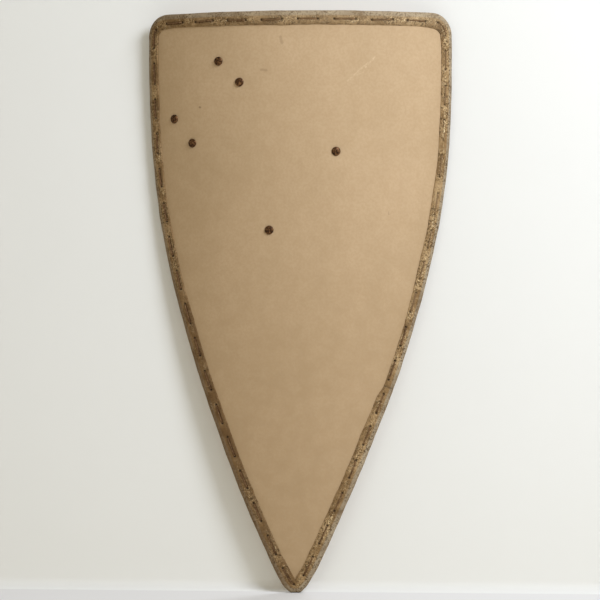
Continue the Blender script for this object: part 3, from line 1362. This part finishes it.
def eased_copy(node, slot, width, body="shield", segments=2):
    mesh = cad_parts[node].data.copy()
    edited = bmesh.new()
    edited.from_mesh(mesh)
    bmesh.ops.remove_doubles(edited, verts=edited.verts, dist=0.01 * MM)
    bmesh.ops.dissolve_limit(edited, angle_limit=math.radians(1), verts=edited.verts, edges=edited.edges)
    edited.to_mesh(mesh)
    edited.free()
    mesh.materials.clear()
    mesh.materials.append(MATERIALS[slot])
    obj = link_object(f"{node}_eased", mesh)
    mesh.shade_smooth()
    add_bevel(obj, width, segments, angle=25)
    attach(obj, body)
    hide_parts(node)


eased_copy("buckle_frame", "brass", 0.7 * MM, body="buckle_frame", segments=3)
eased_copy("buckle_prong", "brass", 0.25 * MM, body="buckle_prong")
eased_copy("strap_keeper", "strap", 0.5 * MM, segments=3)
eased_copy("fold_rivet", "rivet", 0.2 * MM)
eased_copy("fold_rivet_washer", "rove", 0.15 * MM)


# Stage: a pale floor that sweeps up into a backdrop close behind the shield

STAGE_REACH = 4.0
FLOOR_LEVEL = -0.05 * MM
FLOOR_COLOR = (0.722, 0.746, 0.800)
BACKDROP_COLOR = (0.798, 0.832, 0.876)
BOUNCE_COLOR = (0.78, 0.745, 0.66)
MOTTLE_SHADE = 0.985
# The backdrop's depth is its foot plus a cubic of the height, and above the shield it leans evenly
WALL_FOOT = 0.0308
WALL_CURVE = (0.040, 0.125, -0.094)
WALL_LEAN = 0.030
WALL_STEPS = 20
SWEEP_RADIUS = 0.02
SWEEP_STEPS = 12
SWEEP_TOP = 0.05


def stage_material(name, color, one_sided):
    look = Surface(name, roughness=0.9, specular=0.1)
    shaded = tuple(part * MOTTLE_SHADE for part in color)
    mottle = look.ramp((0.6, 2), (0.3, color), (0.7, shaded))
    to_camera = look.node("LightPath", {})["Is Camera Ray"]
    # The light that the stage throws back on the shield is warmer than what the camera sees
    look.color = look.node("Mix", {0: to_camera, 6: BOUNCE_COLOR, 7: mottle}, data_type="RGBA")[2]
    if one_sided:
        # Only the camera sees the backdrop, and only from the front, so light reaches the back
        backfacing = look.node("NewGeometry", {})["Backfacing"]
        seen = look.times(look.math("SUBTRACT", 1.0, backfacing), to_camera)
        clear = look.node("BsdfTransparent", {})["BSDF"]
        mixed = look.node("MixShader", {"Fac": seen, 1: clear, 2: look.shader.outputs["BSDF"]})
        output = look.tree.nodes["Material Output"]
        look.tree.links.new(mixed["Shader"], output.inputs["Surface"])
    return look.finish()


def stage_strip(name, profile, material):
    """A strip of floor or wall along a profile of depths and heights."""
    vertices = [(side * STAGE_REACH, depth, height) for depth, height in profile for side in (-1, 1)]
    faces = [(2 * i, 2 * i + 1, 2 * i + 3, 2 * i + 2) for i in range(len(profile) - 1)]
    mesh = bpy.data.meshes.new(name)
    mesh.from_pydata(vertices, [], faces)
    mesh.shade_smooth()
    mesh.materials.append(material)
    link_object(name, mesh)


def backdrop_profile():
    turn = math.pi / 2 - math.atan(WALL_CURVE[0])
    start = WALL_FOOT - SWEEP_RADIUS * math.tan(turn / 2)
    sweep = [
        (start + SWEEP_RADIUS * math.sin(angle), SWEEP_RADIUS * (1 - math.cos(angle)))
        for angle in np.linspace(0, turn, SWEEP_STEPS)
    ]
    wall = [
        (WALL_FOOT + sum(part * height ** (power + 1) for power, part in enumerate(WALL_CURVE)), height)
        for height in np.linspace(SWEEP_TOP, SHIELD_HEIGHT, WALL_STEPS)
    ]
    top = (wall[-1][0] + WALL_LEAN * STAGE_REACH, SHIELD_HEIGHT + STAGE_REACH)
    return [*sweep, *wall, top]


stage_strip("backdrop", backdrop_profile(), stage_material("backdrop", BACKDROP_COLOR, True))
floor_profile = [(-STAGE_REACH, FLOOR_LEVEL), (STAGE_REACH, FLOOR_LEVEL)]
stage_strip("floor", floor_profile, stage_material("floor", FLOOR_COLOR, False))


# Light

def area_light(name, place, target, size, energy, color):
    light = bpy.data.lights.new(name, "AREA")
    light.shape = "DISK"
    light.size = size
    light.energy = energy
    light.color = color
    obj = link_object(name, light)
    obj.location = place
    obj.rotation_euler = (Vector(target) - Vector(place)).to_track_quat("-Z", "Y").to_euler()
    obj.visible_camera = False


area_light("key", (1.736, -1.509, 2.3), (0, 0, 0.5), 1.3, 66, (0.982, 1.0, 1.025))
area_light("front_fill", (-1.2, -3.4, 1.4), (0, 0, 0.5), 2.4, 10, (1.0, 0.91, 0.74))
area_light("back_fill", (0.9, 2.6, 1.9), (0, 0.05, 0.6), 1.6, 38, (1.0, 0.99, 0.97))

WORLD_COLOR = (1.0, 0.905, 0.705, 1)
WORLD_STRENGTH = 0.42
world = bpy.data.worlds.new("studio")
bpy.context.scene.world = world
world.use_nodes = True
world.node_tree.nodes["Background"].inputs["Color"].default_value = WORLD_COLOR
world.node_tree.nodes["Background"].inputs["Strength"].default_value = WORLD_STRENGTH

# Camera, fitted to the outline in the photograph
CAMERA_TARGET = Vector((0.0062, 0.0162, 0.5026))
CAMERA_YAW = math.radians(4.82)
CAMERA_RISE = math.radians(0.34)
CAMERA_DISTANCE = 5.0
CAMERA_LENS = 174.0
CAMERA_SENSOR = 36.0
CAMERA_CLIP_END = 60.0
camera = bpy.data.cameras.new("camera")
camera.lens = CAMERA_LENS
camera.sensor_width = CAMERA_SENSOR
camera.clip_end = CAMERA_CLIP_END
camera_object = link_object("camera", camera)
back_way = Vector((
    math.sin(CAMERA_YAW) * math.cos(CAMERA_RISE),
    -math.cos(CAMERA_YAW) * math.cos(CAMERA_RISE),
    math.sin(CAMERA_RISE),
))
camera_object.location = CAMERA_TARGET + back_way * CAMERA_DISTANCE
camera_object.rotation_euler = (-back_way).to_track_quat("-Z", "Y").to_euler()
bpy.context.scene.camera = camera_object
bpy.context.scene.view_settings.view_transform = "Standard"
